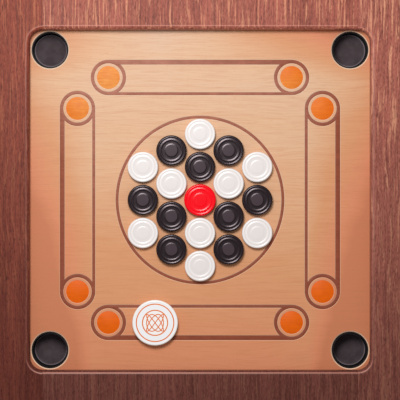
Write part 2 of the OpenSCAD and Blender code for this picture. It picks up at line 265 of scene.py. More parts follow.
def along(axis, across_scale, along_scale):
    """A texture scale that is coarse along the grain's axis and fine across it."""
    return tuple(along_scale if k == axis else across_scale for k in range(3))


# ---------------------------------------------------------------- materials


# Tints of the highlights on varnish, on plain plastic and on black plastic.
VARNISH_TINT = (1.0, 0.8, 0.74, 1.0)
PLAIN_TINT = (1.0, 1.0, 1.0, 1.0)
SMOKY_TINT = (1.0, 0.84, 0.88, 1.0)

# Height of one light and one dark layer of the plywood.
PLY_PAIR = 2.4 * MM


def frame_wood():
    """Reddish brown stained hardwood under varnish. The grain runs along Y in all four members.

    Each member's stain attribute says how dark its stain is, with painted shade that deepens towards the
    front, and its redness how red the wood under it is.
    Hands have polished the rounded edges. Their crests are paler, stripped of stain, and along the lip that
    paleness is also a painted highlight."""
    s = Shader("stained_frame_wood")
    wavy = s.waved((14, 7, 14), (0.016, 0.0, 0.016))
    broad = s.noise(along(1, 48, 3), detail=2, place=wavy)
    line = s.noise(along(1, 560, 9), (3, 1, 7), detail=2, roughness=0.6, place=wavy)
    streak = s.noise(along(1, 520, 17), (11, 5, 2), detail=3, roughness=0.6, place=wavy)
    fleck = s.noise(along(1, 900, 260), (2, 2, 6), detail=3, roughness=0.7)
    pore = s.noise(along(1, 1500, 110), (5, 9, 1), detail=1, place=wavy)
    stain = s.attribute("stain")
    tone = s.ramp(broad, (0.34, linear(164, 93, 79)), (0.66, linear(186, 109, 94)))
    tone = s.mix(s.ramp(line, (0.32, 0.6), (0.55, 0.0)), tone, linear(104, 52, 46))
    lit = s.maths("MULTIPLY", s.ramp(streak, (0.53, 0.0), (0.63, 0.85)), s.spread(stain, 1.0, 0.0))
    tone = s.mix(lit, tone, linear(232, 164, 130))
    tone = s.mix(s.ramp(fleck, (0.34, 0.55), (0.46, 0.0)), tone, linear(84, 40, 32))
    tone = s.mix(s.ramp(fleck, (0.56, 0.0), (0.7, 0.5)), tone, linear(214, 146, 124))
    tone = s.mix(s.ramp(pore, (0.27, 0.7), (0.36, 0.0)), tone, linear(66, 32, 28))
    tone = s.mix(s.attribute("redness"), tone, linear(235, 190, 168), "MULTIPLY")
    # Stain, with painted shade that deepens towards the front.
    tone = s.mix(stain, tone, linear(33, 15, 16))
    # Pale pink where the edges are stripped of stain; along the lip's crest it is also a painted highlight.
    tone = s.mix(s.maths("MULTIPLY", s.attribute("wear_and_highlight"), 0.7), tone, linear(236, 156, 136))
    satin = s.spread(line, 0.36, 0.56)
    rubbed = s.attribute("polish")
    s.set(Base_Color=tone, Roughness=s.maths("SUBTRACT", satin, s.maths("MULTIPLY", rubbed, 0.08)))
    s.set(Specular_IOR_Level=s.spread(rubbed, 0.15, 0.36), Specular_Tint=VARNISH_TINT)
    s.bumps((pore, 0.35, 0.12 * MM), (line, 0.3, 0.1 * MM), (fleck, 0.2, 0.06 * MM))
    return s.material


def veneer(name, tones, deep, satin):
    """Pale lacquered veneer with a faint grain along X.

    tones run from the paler back to the warmer front, both the wood's tone and painted fall-off of the light.
    deep is the grain's colour, satin its roughness."""
    s = Shader(name)
    wavy = s.waved((4, 11, 4), (0.0, 0.03, 0.0))
    figure = s.noise(along(0, 260, 4), (7, 1, 0), detail=3, place=wavy)
    band = s.noise(along(0, 42, 3), (2, 4, 0), detail=2, place=wavy)
    fibre = s.noise(along(0, 850, 34), (1, 8, 0), detail=4, place=wavy)
    fleck = s.noise(along(0, 1300, 130), (4, 4, 0), detail=1)
    shift = s.spread(band, -0.1, 0.1)
    # The tone carries painted fall-off of the lamp's light along with the veneer's own tone.
    tone = s.ramp(s.maths("ADD", s.fade(0.0), shift), *tones)
    tone = s.mix(s.ramp(figure, (0.48, 0.0), (0.75, 0.17)), tone, deep)
    tone = s.mix(s.ramp(fibre, (0.34, 0.3), (0.54, 0.0)), tone, deep)
    tone = s.mix(s.ramp(fleck, (0.26, 0.3), (0.36, 0.0)), tone, deep)
    s.set(Base_Color=tone, Roughness=s.spread(fibre, satin, satin + 0.12), Specular_IOR_Level=0.2)
    s.bumps((figure, 0.06, 0.08 * MM), (fibre, 0.12, 0.04 * MM))
    return s.material


def softwood(name, axis, tint):
    """Planed, unfinished wood for the parts under the board."""
    s = Shader(name)
    rings = s.noise(along(axis, 95, 4), (axis, 3, 1), detail=2)
    fibre = s.noise(along(axis, 900, 35), (2, axis, 5), detail=3)
    saw = s.noise(along(axis, 40, 420), (1, 1, axis), detail=1)
    light, dark = tint
    tone = s.ramp(rings, (0.36, light), (0.5, dark), (0.58, light), (0.72, dark))
    tone = s.mix(s.ramp(fibre, (0.34, 0.4), (0.6, 0.0)), tone, dark)
    s.set(Base_Color=tone, Roughness=s.spread(fibre, 0.62, 0.85), Specular_IOR_Level=0.3)
    s.bumps((fibre, 0.3, 0.08 * MM), (saw, 0.12, 0.05 * MM))
    return s.material


def plies():
    """The stack of thin layers that shows where the plywood is cut."""
    s = Shader("plywood_edge")
    height = s.node("ShaderNodeSeparateXYZ")
    s.feed(height.inputs[0], s.place)
    layer = s.maths("FRACT", s.maths("MULTIPLY", height.outputs["Z"], 1 / PLY_PAIR))
    tone = s.ramp(layer, (0.0, linear(222, 186, 140)), (0.46, linear(222, 186, 140)),
                  (0.5, linear(160, 112, 72)), (0.96, linear(172, 122, 80)), (1.0, linear(120, 78, 48)))
    rough = s.noise((900, 900, 900), detail=2)
    s.set(Base_Color=tone, Roughness=0.75)
    s.bumps((rough, 0.3, 0.1 * MM))
    return s.material


def lacquer(name, tones, deep, gloss):
    """Coloured lacquer that fills a groove. The wood's grain still shows through as a faint ripple."""
    s = Shader(name)
    grain = s.noise(along(0, 650, 60), (6, 2, 0), detail=3)
    cloud = s.noise((140, 140, 140), (1, 7, 3), detail=3)
    # Paler towards the back: the lacquer's tone with painted fall-off and painted sheen of the lamp's light.
    tone = s.ramp(s.fade(0.7), *tones)
    tone = s.mix(s.ramp(grain, (0.35, 0.3), (0.65, 0.0)), tone, deep)
    tone = s.mix(s.ramp(cloud, (0.4, 0.0), (0.7, 0.25)), tone, deep)
    s.set(Base_Color=tone, Roughness=s.spread(grain, gloss, gloss + 0.12), Specular_IOR_Level=0.15)
    s.bumps((grain, 0.12, 0.04 * MM))
    return s.material


def moulded(name, colour, grime_and_shade, roughness, mottle=0.06, specular=0.5, coat=0.3, tint=PLAIN_TINT):
    """Polished moulded plastic: a fine moulded texture, faint flow marks, and dirt with painted shade in the
    grooves.
    """
    s = Shader(name)
    flow = s.noise((260, 200, 260), detail=3)
    grain = s.noise((2200, 2200, 2200), detail=2)
    scuff = s.noise((900, 120, 900), (4, 2, 8), detail=2)
    tone = s.mix(s.ramp(flow, (0.35, 0.0), (0.75, mottle)), colour, grime_and_shade)
    # Darker in the grooves by the groove attribute: dirt and painted shade.
    tone = s.mix(s.maths("MULTIPLY", s.attribute("groove"), 0.5), tone, grime_and_shade)
    s.set(Base_Color=tone, Specular_IOR_Level=specular, Specular_Tint=tint)
    s.set(Coat_Weight=coat, Coat_Roughness=0.2)
    s.set(Roughness=s.spread(s.ramp(scuff, (0.45, 0.0), (0.75, 1.0)), roughness, roughness + 0.05))
    s.bumps((grain, 0.02, 0.01 * MM), (flow, 0.03, 0.04 * MM))
    return s.material


def pocket_plastic():
    """Black plastic with a grained skin and a little dust on it."""
    s = Shader("pocket_plastic")
    grain = s.noise((1500, 1500, 1500), detail=3)
    dust = s.noise((90, 90, 60), (3, 3, 3), detail=4)
    tone = s.mix(s.ramp(dust, (0.5, 0.0), (0.8, 0.12)), linear(12, 9, 10), linear(70, 62, 62))
    s.set(Base_Color=tone, Roughness=s.spread(grain, 0.5, 0.7), Specular_IOR_Level=0.25)
    s.bumps((grain, 0.35, 0.08 * MM))
    return s.material


def soft_rubber(name, colour, worn_and_lit, dusting):
    """Dull rubber, dusty all over, and paler where its wear_and_highlight attribute says so: scuffs, and on
    the liners' edges a painted highlight.
    """
    s = Shader(name)
    grain = s.noise((1100, 1100, 1100), detail=4)
    dust = s.noise((110, 110, 110), (2, 5, 1), detail=4)
    tone = s.mix(s.ramp(dust, (0.4, 0.0), (0.75, dusting)), colour, worn_and_lit)
    tone = s.mix(s.maths("MULTIPLY", s.attribute("wear_and_highlight"), 0.8), tone, worn_and_lit)
    s.set(Base_Color=tone, Roughness=s.spread(grain, 0.7, 0.9), Sheen_Weight=0.08, Sheen_Roughness=0.5)
    s.bumps((grain, 0.5, 0.12 * MM))
    return s.material


def zinc():
    """Brushed zinc plating with faint stains."""
    s = Shader("zinc_plate")
    brushed = s.noise((2200, 2200, 300), detail=3)
    stain = s.noise((260, 260, 260), (1, 2, 9), detail=3)
    tone = s.ramp(stain, (0.35, linear(196, 196, 190)), (0.7, linear(150, 148, 138)))
    s.set(Base_Color=tone, Metallic=1.0, Roughness=s.spread(brushed, 0.24, 0.46))
    s.bumps((brushed, 0.2, 0.04 * MM))
    return s.material


def floor_finish():
    s = Shader("pale_floor")
    cloud = s.noise((3, 3, 3), detail=3)
    s.set(Base_Color=s.ramp(cloud, (0.3, linear(226, 224, 221)), (0.7, linear(232, 230, 228))), Roughness=0.8)
    return s.material


# Except PINE, these ramps run from the board's pale back to its deeper front: their own tone with painted
# fall-off of the lamp's light, and on the lacquers painted sheen as well.
MAPLE = (
    (0.0, linear(225, 190, 160)), (0.3, linear(226, 181, 143)), (0.55, linear(219, 156, 111)),
    (0.85, linear(222, 141, 102)), (1.0, linear(206, 127, 89)),
)
# Unlacquered wood of the grooves' eased edges, pale partly as a painted highlight along the markings.
BARE_AND_LIT_MAPLE = ((0.1, linear(244, 218, 192)), (0.8, linear(236, 184, 150)))
RIM_MAPLE = ((0.1, linear(255, 236, 212)), (0.8, linear(250, 208, 176)))
BIRCH = ((0.1, linear(226, 190, 146)), (0.8, linear(214, 172, 126)))
PINE = (linear(226, 196, 150), linear(196, 154, 104))
BROWN = ((0.1, linear(186, 122, 100)), (0.45, linear(158, 86, 60)), (0.8, linear(150, 78, 54)))
AMBER = ((0.05, linear(246, 172, 92)), (0.28, linear(240, 134, 42)), (0.6, linear(240, 104, 0)))
PRINT_TONES = ((0.1, linear(244, 136, 64)), (0.8, linear(238, 122, 48)))

FRAME_WOOD = frame_wood()
SURFACE = veneer("lacquered_veneer", MAPLE, linear(196, 124, 82), 0.38)
# The grooves' eased edges: unlacquered wood, pale partly as painted highlight.
RAW_AND_LIT_EDGE = veneer("bare_veneer_edge_painted_highlight", BARE_AND_LIT_MAPLE, linear(236, 196, 160), 0.6)
POCKET_RIM = veneer("sanded_pocket_rim", RIM_MAPLE, linear(244, 206, 172), 0.6)
UNDERSIDE = veneer("plain_veneer", BIRCH, linear(180, 134, 88), 0.66)
PLY_EDGE = plies()
PINE_X = softwood("pine_along_x", 0, PINE)
PINE_Y = softwood("pine_along_y", 1, PINE)
BROWN_INK = lacquer("brown_lacquer", BROWN, linear(116, 56, 38), 0.42)
ORANGE_INK = lacquer("orange_lacquer", AMBER, linear(206, 84, 2), 0.42)
# Each plastic's second colour tints its flow marks, and darkens its grooves as dirt and painted shade.
WHITE = moulded("white_man_plastic", linear(247, 241, 239), linear(216, 207, 203), 0.3,
                specular=0.35, coat=0.15)
BLACK = moulded("black_man_plastic", linear(27, 16, 20), linear(18, 10, 13), 0.23,
                mottle=0.1, specular=0.4, coat=0.0, tint=SMOKY_TINT)
# A black man's grained face is greyer than its body: partly its own colour, partly painted sheen of the lamp
# on its grain.
BLACK_FACE = moulded("black_man_grained_face_painted_sheen", linear(70, 55, 62), linear(60, 47, 53), 0.3,
                     mottle=0.4, specular=0.2, coat=0.0)
RED = moulded("red_queen_plastic", linear(255, 0, 24), linear(248, 0, 22), 0.2,
              mottle=0.15, specular=0.25, coat=0.0)
ACRYLIC = moulded("striker_acrylic", linear(255, 252, 249), linear(240, 236, 233), 0.26)
ACRYLIC_BAND = moulded("striker_tinted_band", linear(250, 250, 253), linear(232, 232, 235), 0.26)
PRINT = lacquer("striker_print", PRINT_TONES, linear(214, 98, 40), 0.3)
CUP_PLASTIC = pocket_plastic()
# On a liner the paler second colour gives dust, scuffs and a painted highlight on the edge.
LINER_RUBBER = soft_rubber("liner_rubber", linear(59, 45, 49), linear(146, 132, 138), 0.12)
FOOT_RUBBER = soft_rubber("foot_rubber", linear(34, 32, 33), linear(82, 78, 76), 0.5)
ZINC = zinc()


# ---------------------------------------------------------------- mesh building


def clamped(t):
    return min(max(t, 0.0), 1.0)


def add_to_body(name, mesh, body):
    """Puts a mesh into the scene as a piece that rides on a body."""
    made = bpy.data.objects.new(name, mesh)
    bpy.context.scene.collection.objects.link(made)
    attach(made, body)
    return made


def piece(name, points, faces, materials, body, replaced, shades=None, material_of=None):
    """Makes one closed piece from points and faces, shaded smooth up to its hard edges, riding on a body.

    shades holds a value for each point under the name that a material reads it by. material_of holds each
    face's material number."""
    mesh = bpy.data.meshes.new(name)
    mesh.from_pydata([tuple(p) for p in points], [], faces)
    for material in materials:
        mesh.materials.append(material)
    if material_of:
        mesh.polygons.foreach_set("material_index", material_of)
    for key, values in (shades or {}).items():
        mesh.attributes.new(key, "FLOAT", "POINT").data.foreach_set("value", values)
    mesh.validate()
    shape = bmesh.new()
    shape.from_mesh(mesh)
    bmesh.ops.recalc_face_normals(shape, faces=shape.faces)
    shape.to_mesh(mesh)
    shape.free()
    mesh.polygons.foreach_set("use_smooth", [True] * len(mesh.polygons))
    mesh.set_sharp_from_angle(angle=SHARP_ANGLE)
    made = add_to_body(name, mesh, body)
    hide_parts(*replaced)


def bridge(count, first, second):
    """Quads between two closed loops whose points start at the numbers first and second."""
    return [
        (first + i, first + (i + 1) % count, second + (i + 1) % count, second + i)
        for i in range(count)
    ]


def circle(centre, radius, steps):
    x, y = centre[:2]
    turns = [math.tau * i / steps for i in range(steps)]
    return [(x + radius * math.cos(a), y + radius * math.sin(a)) for a in turns]


def arc(centre, radius, first, last, steps):
    """Points of an arc from one angle to another, both ends included."""
    return [
        (centre[0] + radius * math.cos(first + (last - first) * i / steps),
         centre[1] + radius * math.sin(first + (last - first) * i / steps))
        for i in range(steps + 1)
    ]


def on_side(points, side):
    """Turns points drawn for the back, at +Y, onto the back, right, front or left."""
    turn = -math.pi / 2 * side
    c, s = math.cos(turn), math.sin(turn)
    return [(x * c - y * s, x * s + y * c) for x, y in points]


def lathe(name, outline, centre, materials, body, replaced, steps=RING_STEPS):
    """Revolves an outline about the axis at centre. The outline starts and ends on the axis.

    Each of its points is (radius, height, material number from there on, shade). The plastics read the shade
    as dirt and painted shade in a groove, the liners' rubber as scuffs and a painted highlight on its edge."""
    points, shade, faces, numbers = [], [], [], []
    rings = []
    for r, z, _, value in outline:
        if r == 0:
            rings.append((len(points), 1))
            points.append((centre[0], centre[1], z))
            shade.append(value)
        else:
            rings.append((len(points), steps))
            points += [(x, y, z) for x, y in circle(centre, r, steps)]
            shade += [value] * steps
    for k in range(len(outline) - 1):
        (a, count_a), (b, count_b) = rings[k], rings[k + 1]
        if count_a == 1:
            new = [(a, b + i, b + (i + 1) % steps) for i in range(steps)]
        elif count_b == 1:
            new = [(a + (i + 1) % steps, a + i, b) for i in range(steps)]
        else:
            new = bridge(steps, a, b)
        faces += new
        numbers += [outline[k][2]] * len(new)
    # The shade darkens a man's grooves as dirt and painted shade, and pales a liner's edge as scuffs and a
    # painted highlight.
    shades = {"groove": shade, "wear_and_highlight": shade}
    piece(name, points, faces, materials, body, replaced, shades, numbers)


# ---------------------------------------------------------------- frame members

# Which corner in plan a point of the section follows: the wall's, the frame's outer one or the rabbet's.
INNER, OUTER, RABBET = range(3)

# Steps of a turn round a stile's end, those of its straight stretches before and after an outer corner, and
# those of the rounded edges.
CORNER_STEPS = 16
STRAIGHT_STEPS = 4
LIP_STEPS = 8

# Widths of flat wood over which the paleness beside the lip, partly painted highlight, and beside the outer
# edge fades out.
LIP_FADE = 0.9 * MM
EDGE_FADE = 0.5 * MM
SIDE_FADE = 1 * MM

# Wear of the outer edge at its crest and on its shoulders, and of the chamfer below.
EDGE_CREST = range(2, 6)
CREST_WEAR = 0.7
SHOULDER_WEAR = 0.2
CHAMFER_WEAR = 0.5


def frame_profile(crest=LIP_STEPS):
    """Section of a frame member: (distance out from the wall, height, kind of corner, paleness from stripped
    stain and painted highlight, polish).

    crest is the step of the lip's rounding, counted from the wall, that is paler: stripped of stain, and a
    painted highlight."""
    width = HALF_W - PLAY_HALF
    rabbet_w = RABBET_HALF - PLAY_HALF
    section = [(0, SURFACE_Z, INNER, 0, 0), (0, TOP_Z - LIP_R, INNER, 0, 1)]
    for i in range(1, LIP_STEPS + 1):
        a = math.pi / 2 * i / LIP_STEPS
        # The lip's crest is paler: stripped of stain, and a painted highlight.
        worn_and_lit = 1 if i == crest else 0
        section.append((LIP_R * (1 - math.cos(a)), TOP_Z - LIP_R * (1 - math.sin(a)), INNER, worn_and_lit, 1))
    section.append((LIP_R + LIP_FADE, TOP_Z, INNER, 0, 0))
    section.append((width - EDGE_R - EDGE_FADE, TOP_Z, OUTER, 0, 0))
    for i in range(LIP_STEPS + 1):
        a = math.pi / 2 * i / LIP_STEPS
        out = width - EDGE_R * (1 - math.sin(a))
        z = TOP_Z - EDGE_R * (1 - math.cos(a))
        worn_and_lit = CREST_WEAR if i in EDGE_CREST else SHOULDER_WEAR
        section.append((out, z, OUTER, worn_and_lit, 1))
    section.append((width, TOP_Z - EDGE_R - SIDE_FADE, OUTER, 0, 0))
    section.append((width, BOTTOM_Z + BOTTOM_CHAMFER + EDGE_FADE, OUTER, 0, 0))
    section.append((width, BOTTOM_Z + BOTTOM_CHAMFER, OUTER, CHAMFER_WEAR, 0))
    section.append((width - BOTTOM_CHAMFER, BOTTOM_Z, OUTER, CHAMFER_WEAR, 0))
    section.append((rabbet_w, BOTTOM_Z, RABBET, 0, 0))
    section.append((rabbet_w, SURFACE_Z, RABBET, 0, 0))
    return section


def corner_radius(out, kind):
    """Radius in plan of the corner that a point of the section follows."""
    if kind == INNER:
        return INNER_R + out
    if kind == OUTER:
        return OUTER_R - (HALF_W - PLAY_HALF - out)
    return RABBET_R


def eased(section, amount):
    """The section's (out, z) drawn in by amount on the sides that show, for the fine groove at a seam."""
    middle = (HALF_W - PLAY_HALF) / 2
    drawn = []
    for out, z, kind, _, _ in section:
        if kind != RABBET:
            out += amount if out < middle else -amount
        if z > SURFACE_Z + MM:
            z -= amount
        drawn.append((out, z))
    return drawn


def corner_point(out, kind, i):
    """Place on the back right corner, in plan, at step i from the back seam to the right side."""
    radius = corner_radius(out, kind)
    centre = PLAY_HALF + out - radius
    reach = PLAY_HALF + out
    if kind == INNER:
        a = math.pi / 2 * i / CORNER_STEPS
        return centre + radius * math.sin(a), centre + radius * math.cos(a)
    if i <= STRAIGHT_STEPS:
        return JOINT_X + (centre - JOINT_X) * i / STRAIGHT_STEPS, reach
    if i >= CORNER_STEPS - STRAIGHT_STEPS:
        return reach, JOINT_X + (centre - JOINT_X) * (CORNER_STEPS - i) / STRAIGHT_STEPS
    a = math.pi / 2 * (i - STRAIGHT_STEPS) / (CORNER_STEPS - 2 * STRAIGHT_STEPS)
    return centre + radius * math.sin(a), centre + radius * math.cos(a)


def sweep(name, stations, replaced, stain, redness, worn_and_lit):
    """Skins the stations, each a list of points round the section, and caps both ends.

    stain is how dark the member is at its middle, and how much darker it grows with every metre to the front:
    that darkening is painted shade of the lamp's fall-off.
    worn_and_lit is the step of the lip that is paler, stripped of stain and with a painted highlight, then
    how strong that paleness is along the sides and at the corners and rails."""
    count = len(stations[0])
    points = [p for station in stations for p in station]
    middle, painted_shade_slope = stain
    crest, along_sides, at_corners = worn_and_lit
    section = frame_profile(crest)
    turned = [clamped((abs(y) - JOINT_X) / INNER_R) for _, y, _ in points]
    rub_and_highlight = [along_sides + (at_corners - along_sides) * t for t in turned]
    bare_and_lit = [bareness_and_highlight for _, _, _, bareness_and_highlight, _ in section] * len(stations)
    shades = {
        "wear_and_highlight": [amount * bareness_and_highlight for amount, bareness_and_highlight in zip(rub_and_highlight, bare_and_lit)],
        "polish": [polish for _, _, _, _, polish in section] * len(stations),
        # Darker towards the front: stain and painted shade.
        "stain": [clamped(middle - painted_shade_slope * y) for _, y, _ in points],
        "redness": [redness] * len(points),
    }
    faces = []
    for k in range(len(stations) - 1):
        faces += bridge(count, k * count, (k + 1) * count)
    faces.append(tuple(range(count)))
    faces.append(tuple(range(len(points) - count, len(points))))
    piece(name, points, faces, [FRAME_WOOD], "board", [replaced], shades)


def build_stile(side, name, replaced, stain, redness, worn_and_lit):
    """A stile with the wall's two rounded corners. side is 1 on the right and -1 on the left."""
    section = frame_profile()
    quarter = [
        [(side * JOINT_X, PLAY_HALF + out, z) for out, z in eased(section, SEAM_EASE)],
        [(side * (JOINT_X + SEAM_EASE), PLAY_HALF + out, z) for out, z, *_ in section],
    ]
    for i in range(1, CORNER_STEPS + 1):
        plan = [(corner_point(out, kind, i), z) for out, z, kind, _, _ in section]
        quarter.append([(side * x, y, z) for (x, y), z in plan])
    mirrored = [[(x, -y, z) for x, y, z in station] for station in reversed(quarter)]
    sweep(name, quarter + mirrored, replaced, stain, redness, worn_and_lit)


def build_rail(side, name, replaced, stain, redness, worn_and_lit):
    """A straight rail between the stiles. side is 1 at the back and -1 at the front."""
    section = frame_profile()
    stations = []
    shoulder = JOINT_X - SEAM_EASE
    for x, amount in ((-JOINT_X, SEAM_EASE), (-shoulder, 0), (shoulder, 0), (JOINT_X, SEAM_EASE)):
        stations.append([(x, side * (PLAY_HALF + out), z) for out, z in eased(section, amount)])
    sweep(name, stations, replaced, stain, redness, worn_and_lit)


# ---------------------------------------------------------------- sheet and lacquer

# The triangulation's kind that keeps only what is inside the outlines, and the distance in the outlines' own
# units below which it joins two points.
CDT_INSIDE = 1
CDT_JOIN = 1e-7

# The sheet's materials by number.
FACE, BARE_AND_LIT_EDGE, PLIES, UNDER, RIM = range(5)


def base_loops(grow):
    """Outlines of one side's base lines, drawn for the back: the outside, two ring holes and the gap between.

    grow widens the lines by that much on every side."""
    reach = RING_R + grow
    high = RING_R - OUTER_LINE_W - grow
    low = -RING_R + INNER_LINE_W + grow
    left, right = (-BASE_HALF, BASE_OFFSET), (BASE_HALF, BASE_OFFSET)
    half = RING_STEPS // 2
    right_end = arc(right, reach, math.pi / 2, -math.pi / 2, half)
    left_end = arc(left, reach, -math.pi / 2, -math.pi * 1.5, half)
    holes = [circle(c, RING_R - RING_W - grow, RING_STEPS) for c in (left, right)]
    up, down = math.asin(high / reach), math.asin(low / reach)
    quarter = RING_STEPS // 4
    gap = arc(left, reach, down, up, quarter) + arc(right, reach, math.pi - up, math.pi - down, quarter)
    return [right_end + left_end, *holes, gap]


def disc_loops(grow):
    pair = [circle((s * BASE_HALF, BASE_OFFSET), DISC_R + grow, RING_STEPS) for s in (-1, 1)]
    return [on_side(loop, side) for side in range(4) for loop in pair]


def ring_loops(grow):
    return [
        circle((0, 0), CIRCLE_R + grow, CIRCLE_STEPS),
        circle((0, 0), CIRCLE_R - CIRCLE_W - grow, CIRCLE_STEPS),
    ]


def spot_loops(grow):
    return [circle((0, 0), DISC_R + grow, RING_STEPS)]


def groove_loops(grow):
    sides = [on_side(loop, side) for side in range(4) for loop in base_loops(grow)]
    return sides + disc_loops(grow) + ring_loops(grow) + spot_loops(grow)


def triangles(loops):
    """Triangles between nested outlines: ([triangle of point numbers], [how many outlines hold each]).

    Points are numbered through the outlines in order."""
    flat = [Vector(p) for loop in loops for p in loop]
    numbers, start = [], 0
    for loop in loops:
        numbers.append(list(range(start, start + len(loop))))
        start += len(loop)
    _, _, faces, origin, _, owners = delaunay_2d_cdt(flat, [], numbers, CDT_INSIDE, CDT_JOIN)
    found, depth = [], []
    for face, owner in zip(faces, owners):
        found.append(tuple(origin[v][0] for v in face))
        depth.append(len(owner))
    return found, depth


def slab(name, loops_at, levels, material, replaced):
    """A flat piece between outlines. levels are (growth, height) from its top edge down to its bottom."""
    points, faces = [], []
    sizes = [len(loop) for loop in loops_at(0)]
    total = sum(sizes)
    for grow, z in levels:
        points += [(x, y, z) for loop in loops_at(grow) for x, y in loop]
    found, depth = triangles(loops_at(levels[0][0]))
    filled = [t for t, d in zip(found, depth) if d % 2]
    last = (len(levels) - 1) * total
    faces += filled + [tuple(v + last for v in reversed(t)) for t in filled]
    for k in range(len(levels) - 1):
        start = k * total
        for size in sizes:
            faces += bridge(size, start, start + total)
            start += size
    piece(name, points, faces, [material], "board", replaced)


def build_sheet():
    """The plywood sheet: a veneered face with eased grooves and chamfered pocket holes."""
    half = SHEET_HIGH.x
    pockets = [(sx * POCKET_AT, sy * POCKET_AT) for sx, sy in ((-1, 1), (1, 1), (1, -1), (-1, -1))]
    square = [(-half, -half), (half, -half), (half, half), (-half, half)]
    holes = [circle(c, POCKET_R + POCKET_CHAMFER, RING_STEPS) for c in pockets]
    upper_grooves = groove_loops(GROOVE_EASE)
    loops = [square, *holes, *upper_grooves]
    points = [(x, y, SURFACE_Z) for loop in loops for x, y in loop]
    faces, numbers = [], []

    def add(new, number):
        faces.extend(new)
        numbers.extend([number] * len(new))

    found, depth = triangles(loops)
    add([t for t, d in zip(found, depth) if d % 2], FACE)
    # Grooves: an eased edge of unlacquered wood, pale partly as a painted highlight, then a floor below the
    # lacquer. Their points follow the holes'.
    holes_from = len(square)
    upper = holes_from + len(pockets) * RING_STEPS
    edge = len(points)
    points += [(x, y, SURFACE_Z - GROOVE_EASE_DEPTH) for loop in groove_loops(0) for x, y in loop]
    floor = len(points)
    floor_z = LACQUER_LOW - LACQUER_FLOOR_GAP
    points += [(x, y, floor_z) for loop in groove_loops(0) for x, y in loop]
    step = 0
    for loop in upper_grooves:
        add(bridge(len(loop), upper + step, edge + step), BARE_AND_LIT_EDGE)
        add(bridge(len(loop), edge + step, floor + step), BARE_AND_LIT_EDGE)
        step += len(loop)
    in_grooves = [t for t, d in zip(found, depth) if d % 2 == 0 and min(t) >= upper]
    add([tuple(v - upper + floor for v in t) for t in in_grooves], BARE_AND_LIT_EDGE)
    # Pocket holes: a chamfer, then the cut plies. Each hole adds two rims of points, the lower one last.
    hole_rims = len(points)
    for k, c in enumerate(pockets):
        start = holes_from + k * RING_STEPS
        for z, number in ((SURFACE_Z - POCKET_CHAMFER, RIM), (SHEET_LOW.z, PLIES)):
            below = len(points)
            points += [(x, y, z) for x, y in circle(c, POCKET_R, RING_STEPS)]
            add(bridge(RING_STEPS, start, below), number)
            start = below
    # Underside, with the outer edge of the sheet.
    under_square = len(points)
    points += [(x, y, SHEET_LOW.z) for x, y in square]
    add(bridge(len(square), 0, under_square), PLIES)
    under_loops = [square] + [circle(c, POCKET_R, RING_STEPS) for c in pockets]
    under_first = [under_square] + [hole_rims + (2 * k + 1) * RING_STEPS for k in range(len(pockets))]
    lookup = []
    for first, loop in zip(under_first, under_loops):
        lookup += list(range(first, first + len(loop)))
    found, depth = triangles(under_loops)
    add([tuple(lookup[v] for v in reversed(t)) for t, d in zip(found, depth) if d % 2], UNDER)
    materials = [SURFACE, RAW_AND_LIT_EDGE, PLY_EDGE, UNDERSIDE, POCKET_RIM]
    piece("veneered_sheet", points, faces, materials, "board", ["playing_surface"],
          None, numbers)


def build_markings():
    """The lacquer in the grooves, with its upper edge rounded off."""
    levels = [
        (-LACQUER_FIT - LACQUER_ROUND, LACQUER_TOP),
        (-LACQUER_FIT - 0.3 * LACQUER_ROUND, LACQUER_TOP - 0.3 * LACQUER_ROUND),
        (-LACQUER_FIT, LACQUER_TOP - LACQUER_ROUND),
        (-LACQUER_FIT, LACQUER_LOW),
    ]
    for k, side in enumerate(SIDES):
        slab(f"base_lines_lacquer_{side}", lambda grow, k=k: [on_side(loop, k) for loop in base_loops(grow)],
             levels, BROWN_INK, [f"base_lines_{side}"])
    slab("centre_circle_lacquer", ring_loops, levels, BROWN_INK, ["centre_circle_line"])
    slab("base_discs_lacquer", disc_loops, levels, ORANGE_INK, ["base_circle_discs"])
    slab("centre_spot_lacquer", spot_loops, levels, ORANGE_INK, ["queen_spot"])


# ---------------------------------------------------------------- pockets

LINER_BEVEL = 0.7 * MM
LINER_STEPS = 4
# Scuffs and painted highlight of a liner on its rounded edge, and on its face just inside it.
LINER_EDGE_WEAR_AND_HIGHLIGHT = 0.9
LINER_FACE_WEAR_AND_HIGHLIGHT = 0.2


def build_liners():
    """The rubber discs on the cups' floors, with a rounded upper edge."""
    for corner in CORNERS:
        low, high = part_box(f"pocket_liner_{corner}")
        centre = (low + high) / 2
        radius = (high.x - low.x) / 2
        outline = [(0, low.z, 0, 0), (radius, low.z, 0, 0), (radius, high.z - LINER_BEVEL, 0, 0)]
        for i in range(1, LINER_STEPS + 1):
            a = math.pi / 2 * i / LINER_STEPS
            r = radius - LINER_BEVEL * (1 - math.cos(a))
            z = high.z - LINER_BEVEL * (1 - math.sin(a))
            # Paler on the rounded edge: scuffs and a painted highlight.
            outline.append((r, z, 0, LINER_EDGE_WEAR_AND_HIGHLIGHT))
        outline.append((radius - 1.5 * LINER_BEVEL, high.z, 0, LINER_FACE_WEAR_AND_HIGHLIGHT))
        outline += [(radius - 3 * LINER_BEVEL, high.z, 0, 0), (0, high.z, 0, 0)]
        lathe(f"liner_{corner}", outline, centre, [LINER_RUBBER], "board",
              [f"pocket_liner_{corner}"])


